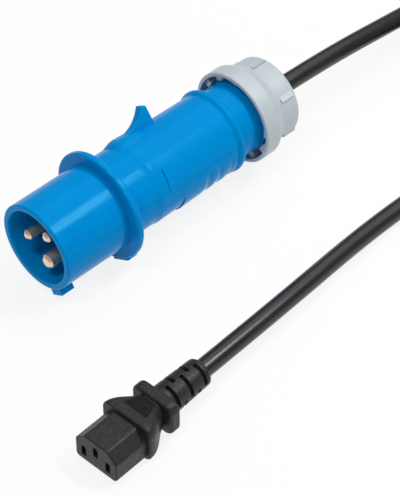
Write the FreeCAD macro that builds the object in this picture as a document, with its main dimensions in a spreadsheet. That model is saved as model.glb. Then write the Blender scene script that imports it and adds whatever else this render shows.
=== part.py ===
"""Power cord: a blue three-pin industrial plug, a black appliance connector and the flexible cord between them.

Lengths are in millimetres. The plug's axis runs along +X, from its pins to its cable, +Z is up and the cord set lies
on the plane z = 0. The plug and its pieces are drawn in the plug's own frame (x = 0 at the rim of its sleeve, the key
at the bottom), and the connector's pieces in the connector's own frame (x = 0 at its face).
"""

import FreeCAD
import Part

import math
import os

import Sketcher

ALONG_X = FreeCAD.Vector(1, 0, 0)
UPRIGHT = FreeCAD.Vector(0, 0, 1)
FULL_TURN = 360.0
QUARTER_TURN = 90.0
SAME = 1e-4
ARC_SHARE = 0.45
VOLUME_SLACK = 0.01

document = FreeCAD.newDocument("power_cord")
sheet = document.addObject("Spreadsheet::Sheet", "Sizes")


class Size:
    """A length with its number and the sheet formula that gives it, so that one sum makes both."""

    def __init__(self, value, formula):
        self.value = value
        self.formula = formula

    def join(self, other, sign, value):
        return Size(value, f"({self.formula} {sign} {lift(other).formula})")

    def __add__(self, other):
        return self.join(other, "+", self.value + lift(other).value)

    def __sub__(self, other):
        return self.join(other, "-", self.value - lift(other).value)

    def __mul__(self, other):
        return self.join(other, "*", self.value * lift(other).value)

    def __truediv__(self, other):
        return self.join(other, "/", self.value / lift(other).value)

    def __neg__(self):
        return Size(-self.value, f"(0 - {self.formula})")


def lift(number):
    """The number as a Size."""
    return number if isinstance(number, Size) else Size(float(number), f"{float(number):.6f}")


def size(name, number):
    """Write a driving dimension into the sheet under its alias and return it."""
    size.row += 1
    cell = f"A{size.row}"
    sheet.set(cell, str(number))
    sheet.setAlias(cell, name)
    return Size(float(number), f"Sizes.{name}")


size.row = 0


def spot(name, *numbers):
    """A point that the cord turns at, as three named lengths."""
    return [size(f"{name}_{axis}", number) for axis, number in zip("xyz", numbers)]


# Places of the two ends on the floor
plug_x = size("plug_x", -48.4)
plug_y = size("plug_y", 40.8)
plug_roll = size("plug_roll", 30)
connector_x = size("connector_x", -100.81)
connector_y = size("connector_y", -55.32)
connector_yaw = size("connector_yaw", 3)

# Clearances
fit_gap = size("fit_gap", 0.15)

# Plug: front housing
sleeve_radius = size("sleeve_radius", 21.9)
sleeve_bore = size("sleeve_bore", 18.6)
sleeve_length = size("sleeve_length", 37.8)
rim_round = size("rim_round", 0.9)
flange_radius = size("flange_radius", 27.6)
flange_thickness = size("flange_thickness", 3.4)
flange_round = size("flange_round", 1.1)
neck_radius = size("neck_radius", 20.5)
neck_length = size("neck_length", 17.3)
neck_fillet = size("neck_fillet", 3.6)
pin_well_depth = size("pin_well_depth", 38.5)
well_floor = size("well_floor", 2.5)
well_opening = size("well_opening", 15.9)
spigot_wall = size("spigot_wall", 1.85)
spigot_length = size("spigot_length", 11)
key_length = size("key_length", 8.3)
key_height = size("key_height", 3.2)
key_width = size("key_width", 7)
heel_length = size("heel_length", 7)
heel_setback = size("heel_setback", 0.6)
heel_lip = size("heel_lip", 0.6)
heel_width = size("heel_width", 11)
heel_root = size("heel_root", 18)
heel_round = size("heel_round", 2.4)

# Plug: pins, carrier and terminals
carrier_radius = size("carrier_radius", 17)
carrier_length = size("carrier_length", 22)
pin_circle = size("pin_circle", 8.75)
pin_radius = size("pin_radius", 2.5)
earth_pin_radius = size("earth_pin_radius", 3.5)
pin_setback = size("pin_setback", 2)
pin_bevel = size("pin_bevel", 1.2)
shank_step = size("shank_step", 0.5)
terminal_radius = size("terminal_radius", 4.4)
terminal_length = size("terminal_length", 15)
terminal_cover = size("terminal_cover", 1.5)
wire_hole_radius = size("wire_hole_radius", 1.4)
wire_hole_depth = size("wire_hole_depth", 10)
screw_radius = size("screw_radius", 1.6)
screw_head_radius = size("screw_head_radius", 2.6)
screw_head_height = size("screw_head_height", 2)
screw_slot = size("screw_slot", 0.8)
screw_setback = size("screw_setback", 6)

# Plug: handle
handle_radius = size("handle_radius", 21)
handle_rear_radius = size("handle_rear_radius", 20.3)
handle_cavity = size("handle_cavity", 17.2)
handle_length = size("handle_length", 49.1)
bead_width = size("bead_width", 5.5)
bead_hollow = size("bead_hollow", 1.6)
bead_toe = size("bead_toe", 1.23)
bead_lift = size("bead_lift", 0.57)
bead_curve = size("bead_curve", 2.55)
thread_radius = size("thread_radius", 18.2)
thread_length = size("thread_length", 24)
gland_recess = size("gland_recess", 2)
gland_wall = size("gland_wall", 5)
gland_bore = size("gland_bore", 12)
hook_setback = size("hook_setback", 1)
hook_ramp = size("hook_ramp", 6.1)
hook_run = size("hook_run", 12.4)
hook_tip = size("hook_tip", 2.9)
hook_lean = size("hook_lean", 0.9)
hook_toe_rise = size("hook_toe_rise", 1.6)
hook_foot_rise = size("hook_foot_rise", 1.4)
hook_rise = size("hook_rise", 9.7)
hook_tip_fall = size("hook_tip_fall", 1)
hook_thickness = size("hook_thickness", 4.4)
hook_curve = size("hook_curve", 18)
hook_tip_round = size("hook_tip_round", 1)
hook_side_round = size("hook_side_round", 0.8)
wall_sink = size("wall_sink", 1.2)
grip_setback = size("grip_setback", 14.8)
grip_lead = size("grip_lead", 12)
grip_pitch = size("grip_pitch", 7.4)
grip_rise = size("grip_rise", 0.7)
grip_scallop = size("grip_scallop", 6.8)
scallop_angle = size("scallop_angle", 124)
grip_angle = size("grip_angle", 200)
GRIP_SCALLOPS = 3
stop_setback = size("stop_setback", 6)
stop_length = size("stop_length", 16)
stop_rise = size("stop_rise", 0.35)
stop_lift = size("stop_lift", 0.9)
stop_angle = size("stop_angle", 33)
STOP_TURNS = {"Near": -88.5, "Far": 88.5}

# Plug: gland
nut_gap = size("nut_gap", 11.2)
nut_length = size("nut_length", 25.5)
nut_turn = size("nut_turn", 27)
skirt_radius = size("skirt_radius", 24)
skirt_wall = size("skirt_wall", 1.8)
skirt_length = size("skirt_length", 8.8)
skirt_taper = size("skirt_taper", 4.4)
skirt_depth = size("skirt_depth", 7)
crown_radius = size("crown_radius", 20.6)
crown_round = size("crown_round", 2.4)
nut_lip_round = size("nut_lip_round", 0.6)
skirt_rear_round = size("skirt_rear_round", 3)
crown_fillet = size("crown_fillet", 4)
nut_back_wall = size("nut_back_wall", 3.4)
cord_exit_radius = size("cord_exit_radius", 5.6)
lug_height = size("lug_height", 1)
lug_width = size("lug_width", 5)
lug_setback = size("lug_setback", 2.2)
tooth_width = size("tooth_width", 4.2)
tooth_length = size("tooth_length", 5)
tooth_gap = size("tooth_gap", 0.8)
NUT_LUGS = 6
NUT_TEETH = 12
seal_length = size("seal_length", 9)
seal_groove = size("seal_groove", 0.9)
claw_ring = size("claw_ring", 6)
claw_root_radius = size("claw_root_radius", 11)
claw_tip_radius = size("claw_tip_radius", 7.2)
claw_slit = size("claw_slit", 1.6)
CLAW_SLITS = 3

# Cord and its cores
cord_radius = size("cord_radius", 4.6)
core_radius = size("core_radius", 1.6)
conductor_radius = size("conductor_radius", 1.1)
core_spread = size("core_spread", 2.1)
cord_lead = size("cord_lead", 29.5)
core_straight = size("core_straight", 9)
crimp_lead = size("crimp_lead", 4)

# Connector: moulding
nose_width = size("nose_width", 24)
nose_height = size("nose_height", 16)
nose_chamfer_width = size("nose_chamfer_width", 5.5)
nose_chamfer_height = size("nose_chamfer_height", 5)
nose_length = size("nose_length", 18.5)
nose_round = size("nose_round", 2.2)
face_round = size("face_round", 0.7)
face_wall = size("face_wall", 1.4)
shoulder_width = size("shoulder_width", 28)
shoulder_height = size("shoulder_height", 20)
shoulder_round = size("shoulder_round", 4.5)
shoulder_edge = size("shoulder_edge", 0.9)
body_depth = size("body_depth", 17)
hip_depth = size("hip_depth", 4.5)
hip_width = size("hip_width", 27)
hip_height = size("hip_height", 19)
flank_depth = size("flank_depth", 10.5)
flank_width = size("flank_width", 19.5)
flank_height = size("flank_height", 17)
waist_width = size("waist_width", 13.5)
waist_height = size("waist_height", 14)
wing_overlap = size("wing_overlap", 1.5)
wing_length = size("wing_length", 6)
wing_width = size("wing_width", 23.5)
wing_height = size("wing_height", 17.4)
wing_round = size("wing_round", 4.2)
wing_edge = size("wing_edge", 1.5)
boot_radius = size("boot_radius", 7.9)
boot_end_radius = size("boot_end_radius", 6.9)
boot_length = size("boot_length", 25)
boot_round = size("boot_round", 1.6)
boot_slot_setback = size("boot_slot_setback", 3.4)
boot_slot_pitch = size("boot_slot_pitch", 4.4)
boot_slot_width = size("boot_slot_width", 2.1)
boot_slot_floor = size("boot_slot_floor", 5.3)
boot_slot_angle = size("boot_slot_angle", 98)
BOOT_SLOT_ROWS = 5
BOOT_SLOT_TURNS = (135.0, 45.0)
ridge_setback = size("ridge_setback", 5.4)
ridge_run = size("ridge_run", 9.2)
ridge_top = size("ridge_top", 9.95)
ridge_fall = size("ridge_fall", 1.9)
ridge_height = size("ridge_height", 0.6)
ridge_width = size("ridge_width", 13)
ridge_narrowing = size("ridge_narrowing", 0.7)
ridge_flank = size("ridge_flank", 0.2)
RIDGES = 8

# Connector: carrier and contacts
contact_pitch = size("contact_pitch", 14)
contact_offset = size("contact_offset", 2)
face_slot_width = size("face_slot_width", 2.8)
face_slot_height = size("face_slot_height", 5.8)
bridge_wall = size("bridge_wall", 1.8)
bridge_depth = size("bridge_depth", 5)
chamber_width = size("chamber_width", 3.2)
chamber_height = size("chamber_height", 6.2)
bridge_back = size("bridge_back", 5.8)
contact_height = size("contact_height", 4.4)
contact_strip = size("contact_strip", 0.4)
contact_tip = size("contact_tip", 2)
contact_pinch = size("contact_pinch", 1.76)
contact_knee = size("contact_knee", 4.16)
barrel_radius = size("barrel_radius", 1.95)
barrel_length = size("barrel_length", 5)
sheath_setback = size("sheath_setback", 1.5)
connector_lead = size("connector_lead", 47.5)

# Points that the cord turns at between its two ends and its coil
plug_bend = spot("plug_bend", 200, 40.6, 20.5)
connector_bends = [
    spot("first_bend", 88, -41, 5.5),
    spot("second_bend", 148, -42.5, 4.9),
    spot("third_bend", 203, -66.5, 5.2),
]

# Coil of the spare length and its tie
coil_x = size("coil_x", 247)
coil_y = size("coil_y", -11.5)
coil_radius = size("coil_radius", 48)
tie_thickness = size("tie_thickness", 1.2)
tie_width = size("tie_width", 12)
tie_gap = size("tie_gap", 0.1)
tie_round = size("tie_round", 3)
tie_slack = size("tie_slack", 0.6)

# Places worked out from the driving dimensions
flange_back = sleeve_length + flange_thickness
seam = flange_back + neck_length
carrier_seat = pin_well_depth + well_floor
carrier_end = carrier_seat + carrier_length
carrier_bore = carrier_radius + fit_gap
spigot_radius = carrier_bore + spigot_wall
spigot_end = seam + spigot_length
bead_start = seam + handle_length
bead_end = bead_start + bead_width
gland_seat = bead_end + gland_recess
gland_inner = gland_seat - gland_wall
thread_end = bead_end + thread_length
nut_front = bead_end + nut_gap
nut_rear = nut_front + nut_length
cord_straight = nut_rear + cord_lead
heel_start = sleeve_length + heel_setback
heel_radius = flange_radius + heel_lip
hook_front = seam + hook_setback
hook_foot = hook_front + hook_ramp
hook_peak = hook_foot + hook_run
hook_back = hook_peak + hook_tip
grip_start = seam + grip_setback
stop_start = seam + stop_setback
scallop_start = grip_start + grip_lead
terminal_end = carrier_end - terminal_cover
terminal_start = terminal_end - terminal_length
seal_end = gland_seat + seal_length
claw_root = seal_end + claw_ring
claw_tip = nut_rear - nut_back_wall - fit_gap
waist = nose_length + body_depth
wing_start = waist - wing_overlap
wing_end = wing_start + wing_length
boot_end = wing_end + boot_length
boot_slot_first = wing_end + boot_slot_setback
ridge_start = nose_length + ridge_setback
bridge_end = nose_length + bridge_depth
chamber_end = bridge_end - bridge_back
connector_sheath = wing_end + sheath_setback
connector_straight = boot_end + connector_lead
bridge_width = nose_width - bridge_wall * 2
bridge_height = nose_height - bridge_wall * 2
coil_base = tie_thickness + tie_gap
cord_diameter = cord_radius * 2
row_height = cord_diameter * (math.sqrt(3) / 2)


def bind(thing, path, length):
    """Tie a property to the sheet."""
    thing.setExpression(path, lift(length).formula)


def new_body(label):
    """An empty body that will become the sub-part of that name."""
    body = document.addObject("PartDesign::Body", label.title().replace("_", ""))
    body.Label = label
    return body


def plane_of(body, role):
    """One of the body's own origin planes."""
    return next(feature for feature in body.Origin.OriginFeatures if feature.Role == role)


def new_sketch(body, name, role, lift_off=0, turn=0.0, shift=(0, 0)):
    """A sketch on an origin plane, raised along the plane's normal, shifted in it and turned about its x axis."""
    sketch = body.newObject("Sketcher::SketchObject", name)
    sketch.AttachmentSupport = [(plane_of(body, role), "")]
    sketch.MapMode = "FlatFace"
    sketch.AttachmentOffset = FreeCAD.Placement(FreeCAD.Vector(), FreeCAD.Rotation(ALONG_X, turn))
    for axis, length in zip("xyz", (*shift, lift_off)):
        if isinstance(length, Size):
            bind(sketch, f"AttachmentOffset.Base.{axis}", length)
    return sketch


def pin_down(sketch, geometry, end, along, across):
    """Fix a point of the sketch at (along, across); a plain 0 puts it on the axis."""
    for kind, axis, length in (("DistanceX", -2, along), ("DistanceY", -1, across)):
        if isinstance(length, Size):
            row = sketch.addConstraint(Sketcher.Constraint(kind, -1, 1, geometry, end, length.value))
            bind(sketch, f"Constraints[{row}]", length)
        else:
            sketch.addConstraint(Sketcher.Constraint("PointOnObject", geometry, end, axis))


def point(corner):
    """A corner's place in its sketch."""
    return FreeCAD.Vector(lift(corner[0]).value, lift(corner[1]).value, 0)


def arc_between(start, end, radius):
    """The minor arc from start to end; it runs counter-clockwise where the radius is positive."""
    chord = end - start
    half = chord.Length / 2
    side = math.copysign(math.sqrt(radius * radius - half * half), radius)
    left = FreeCAD.Vector(-chord.y, chord.x, 0).normalize()
    centre = (start + end) / 2 + left * side
    first, last = (start, end) if radius > 0 else (end, start)
    angles = [math.atan2(p.y - centre.y, p.x - centre.x) for p in (first, last)]
    return Part.ArcOfCircle(Part.Circle(centre, UPRIGHT, abs(radius)), *angles)


def draw(sketch, corners):
    """A closed outline through corners (along, across), with an arc where a corner's third entry gives its radius."""
    ends = []
    for corner, following in zip(corners, corners[1:] + corners[:1]):
        start, end = point(corner), point(following)
        if len(corner) == 2:
            geometry = sketch.addGeometry(Part.LineSegment(start, end))
            ends.append((geometry, 1, 2))
            continue
        radius = corner[2]
        geometry = sketch.addGeometry(arc_between(start, end, radius.value))
        row = sketch.addConstraint(Sketcher.Constraint("Radius", geometry, abs(radius.value)))
        bind(sketch, f"Constraints[{row}]", radius if radius.value > 0 else -radius)
        ends.append((geometry, 1, 2) if radius.value > 0 else (geometry, 2, 1))
    for (geometry, _, end), (following, start, _) in zip(ends, ends[1:] + ends[:1]):
        sketch.addConstraint(Sketcher.Constraint("Coincident", geometry, end, following, start))
    for (geometry, start, _), corner in zip(ends, corners):
        pin_down(sketch, geometry, start, corner[0], corner[1])
    return sketch


def draw_circle(sketch, along, across, radius):
    """A circle with its centre and radius tied to the sheet."""
    centre = point((along, across))
    geometry = sketch.addGeometry(Part.Circle(centre, UPRIGHT, radius.value))
    row = sketch.addConstraint(Sketcher.Constraint("Radius", geometry, radius.value))
    bind(sketch, f"Constraints[{row}]", radius)
    pin_down(sketch, geometry, 3, along, across)
    return sketch


def rectangle(low_along, low_across, high_along, high_across):
    """The corners of a rectangle."""
    return [
        (low_along, low_across),
        (high_along, low_across),
        (high_along, high_across),
        (low_along, high_across),
    ]


def centred_rectangle(width, height, middle_along=0, middle_across=0):
    """The corners of a rectangle about a middle point."""
    right, top = lift(middle_along) + width / 2, lift(middle_across) + height / 2
    return rectangle(right - width, top - height, right, top)


def rounded_rectangle(width, height, radius, middle_across=0):
    """The corners and arcs of a rectangle with rounded corners, counter-clockwise."""
    right = width / 2
    top = lift(middle_across) + height / 2
    base = top - height
    return [
        (radius - right, base),
        (right - radius, base, radius),
        (right, base + radius),
        (right, top - radius, radius),
        (right - radius, top),
        (radius - right, top, radius),
        (-right, top - radius),
        (-right, base + radius, radius),
    ]


def revolve(body, name, sketch, axis="H_Axis", angle=None, kind="PartDesign::Revolution"):
    """Turn the sketch about its own axis, all the way round or by an angle that straddles the sketch."""
    feature = body.newObject(kind, name)
    feature.Profile = sketch
    feature.ReferenceAxis = (sketch, [axis])
    feature.Angle = FULL_TURN
    if angle is not None:
        feature.Midplane = True
        bind(feature, "Angle", angle)
    return feature


def pad(body, name, sketch, length, straddle=False):
    """Push the sketch out along its normal, or by half to each side."""
    feature = body.newObject("PartDesign::Pad", name)
    feature.Profile = sketch
    feature.SideType = "Symmetric" if straddle else "One side"
    bind(feature, "Length", length)
    return feature


def pocket(body, name, sketch, length):
    """Cut the sketch into the body along the sketch's normal."""
    feature = body.newObject("PartDesign::Pocket", name)
    feature.Profile = sketch
    feature.Reversed = True
    bind(feature, "Length", length)
    document.recompute()
    if feature.Shape.Volume >= feature.BaseFeature.Shape.Volume - SAME:
        raise RuntimeError(f"{name} cuts nothing")
    return feature


def polar(body, name, feature, sketch, count):
    """Copies of a feature evenly round the sketch's normal."""
    pattern = body.newObject("PartDesign::PolarPattern", name)
    pattern.Originals = [feature]
    pattern.Axis = (sketch, ["N_Axis"])
    pattern.Angle = FULL_TURN
    pattern.Occurrences = count
    body.Tip = pattern
    return pattern


def ring_at(along, radius):
    """A test for the circular edge of that radius about the X axis at that place."""

    def matches(edge):
        curve = edge.Curve
        return (
            isinstance(curve, Part.Circle)
            and abs(curve.Center.x - along.value) < SAME
            and abs(curve.Radius - radius.value) < SAME
        )

    return matches


def in_plane(along):
    """A test for the edges that lie in the plane across X at that place."""
    return lambda edge: all(abs(vertex.X - lift(along).value) < SAME for vertex in edge.Vertexes)


def from_face(edge):
    """Whether the edge is straight, parallel to X and starts at x = 0."""
    straight = isinstance(edge.Curve, Part.Line) and abs(abs(edge.Curve.Direction.x) - 1) < SAME
    return straight and abs(edge.BoundBox.XMin) < SAME


def soften(body, name, feature, radius, *tests):
    """Fillet each edge of the feature that one of the tests picks."""
    document.recompute()
    names = [
        f"Edge{number}"
        for number, edge in enumerate(feature.Shape.Edges, 1)
        if any(test(edge) for test in tests)
    ]
    if not names:
        raise RuntimeError(f"{name} finds no edge")
    fillet = body.newObject("PartDesign::Fillet", name)
    fillet.Base = (feature, names)
    bind(fillet, "Radius", radius)
    document.recompute()
    if not fillet.isValid():
        raise RuntimeError(f"{name} fails")
    return fillet


def lay_in_plug(thing, turn=0.0):
    """Place a piece of the plug: axis level along X, resting on the flange, rolled or screwed about its axis."""
    thing.Placement.Rotation = FreeCAD.Rotation(ALONG_X, turn - plug_roll.value)
    bind(thing, "Placement.Base.x", plug_x)
    bind(thing, "Placement.Base.y", plug_y)
    bind(thing, "Placement.Base.z", flange_radius)
    return thing


def lay_in_connector(thing):
    """Place a piece of the connector: lying on its shoulder, turned a little on the floor."""
    thing.Placement.Rotation = FreeCAD.Rotation(UPRIGHT, connector_yaw.value)
    bind(thing, "Placement.Base.x", connector_x)
    bind(thing, "Placement.Base.y", connector_y)
    bind(thing, "Placement.Base.z", shoulder_height / 2)
    return thing


def plug_point(along, across=0.0, up=0.0):
    """A point of the plug's frame, in the part's frame."""
    rolled = FreeCAD.Rotation(ALONG_X, -plug_roll.value).multVec(FreeCAD.Vector(along, across, up))
    return rolled + FreeCAD.Vector(plug_x.value, plug_y.value, flange_radius.value)


def connector_point(along, across=0.0, up=0.0):
    """A point of the connector's frame, in the part's frame."""
    turned = FreeCAD.Rotation(UPRIGHT, connector_yaw.value).multVec(FreeCAD.Vector(along, across, up))
    return turned + FreeCAD.Vector(connector_x.value, connector_y.value, shoulder_height.value / 2)


def front_housing():
    """Sleeve round the pins, flange and neck in one moulding, with the key at the front and a heel on the flange."""
    body = new_body("front_housing")
    section = draw(
        new_sketch(body, "HousingSection", "XY_Plane"),
        [
            (0, sleeve_bore),
            (0, sleeve_radius),
            (sleeve_length, sleeve_radius),
            (sleeve_length, flange_radius),
            (flange_back, flange_radius),
            (flange_back, neck_radius),
            (seam, neck_radius),
            (seam, spigot_radius),
            (spigot_end, spigot_radius),
            (spigot_end, carrier_bore),
            (carrier_seat, carrier_bore),
            (carrier_seat, well_opening),
            (pin_well_depth, well_opening),
            (pin_well_depth, sleeve_bore),
        ],
    )
    shell = revolve(body, "HousingShell", section)
    rim = soften(body, "RimRound", shell, rim_round, ring_at(lift(0), sleeve_radius), ring_at(lift(0), sleeve_bore))
    edge = soften(
        body, "FlangeRound", rim, flange_round,
        ring_at(sleeve_length, flange_radius), ring_at(flange_back, flange_radius),
    )
    soften(body, "NeckFillet", edge, neck_fillet, ring_at(flange_back, neck_radius))
    key_outline = rectangle(-key_width / 2, -(sleeve_radius + key_height), key_width / 2, -(sleeve_radius - wall_sink))
    pad(body, "Key", draw(new_sketch(body, "KeyOutline", "YZ_Plane", rim_round), key_outline), key_length - rim_round)
    heel_outline = rectangle(-heel_width / 2, -heel_radius, heel_width / 2, -heel_root)
    heel = pad(body, "Heel", draw(new_sketch(body, "HeelOutline", "YZ_Plane", heel_start), heel_outline), heel_length)

    def heel_rear(edge):
        low = edge.BoundBox
        behind = abs(low.XMin - (heel_start + heel_length).value) < SAME
        return behind and abs(low.ZMax + heel_radius.value) < SAME

    soften(body, "HeelRound", heel, heel_round, heel_rear)
    return lay_in_plug(body)


def pin_carrier():
    """Insulating disc that holds the three pins, with a round pocket for each terminal and a way in to its screw."""
    body = new_body("pin_carrier")
    boss_radius = well_opening - fit_gap
    section = draw(
        new_sketch(body, "CarrierSection", "XY_Plane"),
        [
            (pin_well_depth, 0),
            (pin_well_depth, boss_radius),
            (carrier_seat, boss_radius),
            (carrier_seat, carrier_radius),
            (carrier_end, carrier_radius),
            (carrier_end, 0),
        ],
    )
    revolve(body, "CarrierDisc", section)
    screw_place = terminal_end - screw_setback
    for name, angle, radius in PINS:
        across, up = pin_place(angle)
        title = name.title().replace("_", "")
        hole = new_sketch(body, f"{title}Hole", "YZ_Plane", pin_well_depth)
        shank = radius + shank_step
        pocket(body, f"{title}Bore", draw_circle(hole, across, up, shank), carrier_end - pin_well_depth)
        seat = new_sketch(body, f"{title}Seat", "YZ_Plane", terminal_start)
        pocket(
            body, f"{title}Pocket", draw_circle(seat, across, up, terminal_radius + fit_gap),
            carrier_end - terminal_start,
        )
        way = new_sketch(body, f"{title}Way", "XY_Plane", turn=angle - QUARTER_TURN)
        pocket(
            body, f"{title}ScrewWay", draw_circle(way, screw_place, 0, screw_head_radius + fit_gap * 2),
            carrier_radius + fit_gap,
        )
    return lay_in_plug(body)


# Name, angle round the plug's axis from its +Y side, and radius of each pin
PINS = [
    ("live_pin", 150.0, pin_radius),
    ("neutral_pin", 30.0, pin_radius),
    ("earth_pin", 270.0, earth_pin_radius),
]


def pin_place(angle):
    """Where a pin's axis crosses the plug's section."""
    turn = math.radians(angle)
    return pin_circle * math.cos(turn), pin_circle * math.sin(turn)


def contact_pin(name, angle, radius):
    """Brass pin with a bevelled tip and a screw terminal at its rear."""
    body = new_body(name)
    across, up = pin_place(angle)
    axis = new_sketch(body, f"{name}_section", "XY_Plane", lift_off=up, turn=angle - QUARTER_TURN, shift=(0, across))
    section = draw(
        axis,
        [
            (pin_setback, 0),
            (pin_setback, radius - pin_bevel),
            (pin_setback + pin_bevel, radius),
            (pin_well_depth, radius),
            (pin_well_depth, radius + shank_step),
            (terminal_start, radius + shank_step),
            (terminal_start, terminal_radius),
            (terminal_end, terminal_radius),
            (terminal_end, wire_hole_radius),
            (terminal_end - wire_hole_depth, wire_hole_radius),
            (terminal_end - wire_hole_depth, 0),
        ],
    )
    turned = revolve(body, f"{name}_turned", section)
    soften(body, f"{name}_tip", turned, pin_bevel / 2, in_plane(pin_setback))
    hole = new_sketch(body, f"{name}_screw_hole", "XY_Plane", lift_off=up, turn=angle - QUARTER_TURN, shift=(0, across))
    pocket(
        body, f"{name}_screw_bore", draw_circle(hole, terminal_end - screw_setback, 0, screw_radius), terminal_radius
    )
    return lay_in_plug(body)


def terminal_screws():
    """One slotted clamping screw for each terminal, as three separate solids."""
    body = new_body("terminal_screw")
    start = conductor_radius + fit_gap
    shank = screw_radius - fit_gap / 3
    head = terminal_radius
    top = head + screw_head_height
    section = draw(
        new_sketch(body, "ScrewSection", "XZ_Plane"),
        [
            (0, start),
            (shank, start),
            (shank, head),
            (screw_head_radius, head),
            (screw_head_radius, top),
            (0, top),
        ],
    )
    revolve(body, "ScrewTurned", section, "V_Axis")
    slot = draw(
        new_sketch(body, "ScrewSlot", "XY_Plane", top - screw_head_height / 2),
        centred_rectangle(screw_slot, screw_head_radius * 3),
    )
    pocket(body, "ScrewSlotCut", slot, screw_head_height)
    document.recompute()
    screws = []
    for _, angle, _ in PINS:
        screw = body.Shape.copy()
        across, up = pin_place(angle)
        place = plug_point((terminal_end - screw_setback).value, across.value, up.value)
        screw.Placement = FreeCAD.Placement(place, FreeCAD.Rotation(ALONG_X, angle - QUARTER_TURN - plug_roll.value))
        screws.append(screw)
    group = document.addObject("Part::Feature", "TerminalScrews")
    group.Label = "terminal_screws"
    group.Shape = Part.makeCompound(screws)
    return group


def handle_shell():
    """Hollow handle with the lid hook on top, a scalloped grip below, a rear bead and the threaded gland neck."""
    body = new_body("handle_shell")
    socket_bore = spigot_radius + fit_gap
    socket_end = spigot_end + fit_gap
    cord_hole = cord_radius + fit_gap
    section = draw(
        new_sketch(body, "HandleSection", "XY_Plane"),
        [
            (seam, socket_bore),
            (seam, handle_radius),
            (bead_start, handle_rear_radius, bead_hollow),
            (bead_start + bead_toe, handle_rear_radius + bead_lift, -bead_curve),
            (bead_end, thread_radius),
            (thread_end, thread_radius),
            (thread_end, gland_bore),
            (gland_seat, gland_bore),
            (gland_seat, cord_hole),
            (gland_inner, cord_hole),
            (gland_inner, handle_cavity),
            (socket_end, handle_cavity),
            (socket_end, socket_bore),
        ],
    )
    shell = revolve(body, "HandleShell", section)
    soften(body, "SeamRound", shell, fit_gap * 3, ring_at(seam, handle_radius))
    root = handle_radius - wall_sink
    hook = draw(
        new_sketch(body, "HookOutline", "XZ_Plane"),
        [
            (hook_front, root),
            (hook_back + hook_lean, root),
            (hook_back, handle_radius + hook_rise - hook_tip_fall),
            (hook_peak, handle_radius + hook_rise, -hook_curve),
            (hook_foot, handle_radius + hook_foot_rise),
            (hook_front, handle_radius + hook_toe_rise),
        ],
    )
    hook = pad(body, "Hook", hook, hook_thickness, straddle=True)
    hook = soften(body, "HookTip", hook, hook_tip_round, hook_tip_edge)
    soften(body, "HookRound", hook, hook_side_round, hook_edge)
    add_grip(body, root)
    for side, turn in STOP_TURNS.items():
        stop = draw(
            new_sketch(body, f"{side}StopOutline", "XZ_Plane", turn=turn, shift=(0, stop_lift)),
            [(stop_start, -root), (stop_start, -(handle_radius + stop_rise)), (stop_start + stop_length, -root)],
        )
        revolve(body, f"{side}Stop", stop, angle=stop_angle)
    return lay_in_plug(body)


def add_grip(body, root):
    """The grip under the handle: a swelling about a lowered axis that fades out at both sides, with scallops."""
    grip_end = scallop_start + grip_pitch * GRIP_SCALLOPS
    taper = (handle_radius - handle_rear_radius) / handle_length
    front = handle_radius - taper * grip_setback
    grip = draw(
        new_sketch(body, "GripOutline", "XZ_Plane", shift=(0, -grip_rise)),
        [(grip_start, -root), (grip_start, -front), (grip_end, -handle_rear_radius), (grip_end, -root)],
    )
    revolve(body, "Grip", grip, angle=grip_angle)
    crest = handle_radius + grip_rise
    valleys = new_sketch(body, "ScallopOutline", "XZ_Plane")
    for number in range(GRIP_SCALLOPS):
        start = scallop_start + grip_pitch * number
        end = start + grip_pitch
        draw(valleys, [(start, -crest), (end, -crest, grip_scallop)])
    revolve(body, "Scallops", valleys, angle=scallop_angle, kind="PartDesign::Groove")


def hook_tip_edge(edge):
    """Whether the edge runs across the hook's tip."""
    box = edge.BoundBox
    return box.ZMin > (handle_radius + hook_rise - hook_tip_fall * 2).value and box.YLength > SAME


def hook_edge(edge):
    """Whether the edge borders a side of the hook, clear of the handle."""
    box = edge.BoundBox
    side = abs(abs(box.YMin) - hook_thickness.value / 2) < SAME and box.YLength < SAME
    return side and box.ZMax > (handle_radius + wall_sink).value and box.XLength > SAME


def cable_seal():
    """Rubber ring that grips the cord in the gland, with a groove round its outside."""
    body = new_body("cable_seal")
    outside = gland_bore - fit_gap
    third = seal_length / 3
    section = draw(
        new_sketch(body, "SealSection", "XY_Plane"),
        [
            (gland_seat, cord_radius),
            (gland_seat, outside),
            (gland_seat + third, outside),
            (gland_seat + third, outside - seal_groove),
            (seal_end - third, outside - seal_groove),
            (seal_end - third, outside),
            (seal_end, outside),
            (seal_end, cord_radius),
        ],
    )
    revolve(body, "SealRing", section)
    return lay_in_plug(body)


def clamp_claw():
    """Slit collet that the nut closes on the cord."""
    body = new_body("clamp_claw")
    section = draw(
        new_sketch(body, "ClawSection", "XY_Plane"),
        [
            (seal_end, cord_radius + fit_gap),
            (seal_end, gland_bore - fit_gap),
            (claw_root, gland_bore - fit_gap),
            (claw_root, claw_root_radius),
            (claw_tip, claw_tip_radius),
            (claw_tip, cord_radius + fit_gap),
        ],
    )
    revolve(body, "ClawTurned", section)
    slit = new_sketch(body, "ClawSlit", "YZ_Plane", claw_root)
    draw(slit, centred_rectangle(claw_slit, gland_bore * 2))
    cut = pocket(body, "ClawSlitCut", slit, claw_tip - claw_root + fit_gap)
    pattern = polar(body, "ClawSlits", cut, slit, CLAW_SLITS)
    pattern.Angle = FULL_TURN / 2
    pattern.Mode = "Extent"
    return lay_in_plug(body)


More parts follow.
